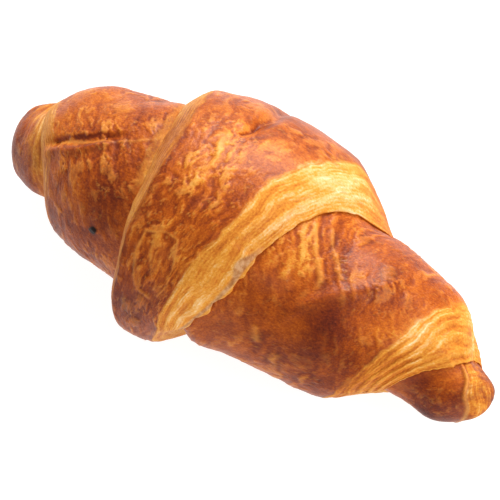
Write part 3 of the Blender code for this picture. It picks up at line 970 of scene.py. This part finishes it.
# %% [markdown]
# ## Both in one surface
#
# The mark for cut sides decides between the two, roughened so that they meet as a brush of
# egg leaves them. Gloss, pores and crazing are shared. A sharp mask would look cut out.

# %% Egg-washed crust over laminated dough
# The egg wash ran a little over the rim, so crust and cut side meet in ragged tongues of 2.4 mm
tongues = add("TexNoise", {"Vector": half_along, "Scale": 1 / 2.4, "Detail": 5, "Roughness": 0.65})
ragged_cut = add("Math", {0: tongues, 1: 2.0, 2: mark["cut"]}, operation="MULTIPLY_ADD")
ragged_cut = add("Math", {0: ragged_cut, 1: 1.5, 2: -1.85}, operation="MULTIPLY_ADD", use_clamp=True)
colour = add("Mix", {0: ragged_cut, 6: crust_colour, 7: edge_colour}, 2, data_type="RGBA")

# Film of egg: soft gloss where the crust is brown, dry and matte on cut dough
film = add("TexNoise", {"Vector": place_on_skin, "Scale": 1 / 4.0, "Detail": 4, "Roughness": 0.6})
film = add("Math", {0: film, 1: 0.26, 2: 0.27}, operation="MULTIPLY_ADD")
roughness = add("Math", {0: ragged_cut, 1: 0.34, 2: film}, operation="MULTIPLY_ADD", use_clamp=True)

# Pores of 0.55 mm and hair-fine crazing of 1.4 mm
pores = add("TexNoise", {"Vector": place_on_skin, "Scale": 1 / 0.55, "Detail": 3, "Roughness": 0.6})
craze = add("TexNoise", {"Vector": half_along, "Scale": 1 / 1.4, "Detail": 4, "Roughness": 0.7})
fine = add("Math", {0: pores, 1: 0.5, 2: craze}, operation="MULTIPLY_ADD")
bumps = add("Bump", {"Height": fine, "Strength": 1.0, "Distance": 0.00022}, "Normal")

surface = add("BsdfPrincipled", {
    "Base Color": colour, "Roughness": roughness, "Normal": bumps,
    "IOR": 1.45, "Specular IOR Level": 0.17, "Subsurface Weight": 0.05,
    "Subsurface Radius": (1.0, 0.45, 0.2), "Subsurface Scale": 0.0012,
    "Coat Weight": 0.10, "Coat Roughness": 0.20, "Coat IOR": 1.4}, "BSDF")
add("OutputMaterial", {"Surface": surface})
for piece in pieces:
    piece.data.materials.append(material)

# %% [markdown]
# ## Floor, light and camera
#
# The croissant lies on a white table that is lit from below, as for a catalogue picture, so
# its shadow almost vanishes. A wide soft light stands behind it and a weaker one to the right.
# The camera is a long lens from far away, which keeps both ends nearly the same size.

# %% Studio
FLOOR_GLOW = 0.94
ROOM_LIGHT = 0.42

mesh = bpy.data.meshes.new("floor")
mesh.from_pydata([(-3, -3, 0), (3, -3, 0), (3, 3, 0), (-3, 3, 0)], [], [(0, 1, 2, 3)])
floor = bpy.data.objects.new("floor", mesh)
bpy.context.scene.collection.objects.link(floor)
paper = bpy.data.materials.new("white_paper")
paper.use_nodes = True
principled = paper.node_tree.nodes["Principled BSDF"]
for name, value in (("Base Color", (0.25, 0.25, 0.25, 1)), ("Emission Color", (1, 1, 1, 1)),
                    ("Emission Strength", FLOOR_GLOW), ("Roughness", 0.9),
                    ("Specular IOR Level", 0.1)):
    principled.inputs[name].default_value = value
mesh.materials.append(paper)


def soft_light(name, towards, distance, size, power):
    """Square area light, placed in a direction from the croissant and aimed at it."""
    data = bpy.data.lights.new(name, "AREA")
    data.shape = "SQUARE"
    data.size = size
    data.energy = power
    lamp = bpy.data.objects.new(name, data)
    bpy.context.scene.collection.objects.link(lamp)
    lamp.location = Vector(towards).normalized() * distance + Vector((0, 0, 0.03))
    lamp.rotation_euler = (-Vector(towards)).to_track_quat("-Z", "Y").to_euler()


soft_light("window", towards=(-0.25, 0.75, 0.85), distance=1.0, size=0.55, power=12.5)
soft_light("side", towards=(0.85, 0.05, 0.55), distance=1.0, size=0.6, power=6.0)

world = bpy.data.worlds.new("white_room")
world.use_nodes = True
background = world.node_tree.nodes["Background"].inputs
background["Color"].default_value = (1, 1, 1, 1)
background["Strength"].default_value = ROOM_LIGHT
scene = bpy.context.scene
scene.world = world
scene.view_settings.view_transform = "Standard"
print("white room, two soft lights")

# %% [markdown]
# ## Camera
#
# It stands 35 degrees to the right and 50 degrees up, 0.9 m away. Those angles came from
# matching the outline and the step lines of the roll to the photograph.

# %% Camera
AZIMUTH = math.radians(35)
ELEVATION = math.radians(50)
DISTANCE = 0.9
SENSOR = 36
# The picture is 500 pixels wide, and seen from 3213 pixels away
LENS = 3213 / 500 * SENSOR
# How far the point aimed at lies left of and below the middle of the roll, in mm
AIM_LEFT = 4.43
AIM_DOWN = 1.68
AIM_HEIGHT = 28

right_hand = Vector((math.cos(AZIMUTH), math.sin(AZIMUTH), 0))
backward = Vector((math.sin(AZIMUTH) * math.cos(ELEVATION), -math.cos(AZIMUTH) * math.cos(ELEVATION),
                   math.sin(ELEVATION)))
upward = backward.cross(right_hand)
aim = Vector((0, 0, AIM_HEIGHT)) - Vector(OFFSET.tolist()) - AIM_LEFT * right_hand - AIM_DOWN * upward

camera_data = bpy.data.cameras.new("camera")
camera_data.lens = LENS
camera_data.sensor_width = SENSOR
camera_data.clip_start = 0.05
camera_data.clip_end = 20
camera = bpy.data.objects.new("camera", camera_data)
camera.matrix_world = Matrix.Translation(aim * MM + backward * DISTANCE) @ Matrix(
    (right_hand, upward, backward)).transposed().to_4x4()
scene.collection.objects.link(camera)
scene.camera = camera

# %% [markdown]
# ## Finish
#
# The box of the finished pieces should match the box of the solid loaded at the start.

# %% Finish
bpy.context.view_layer.update()
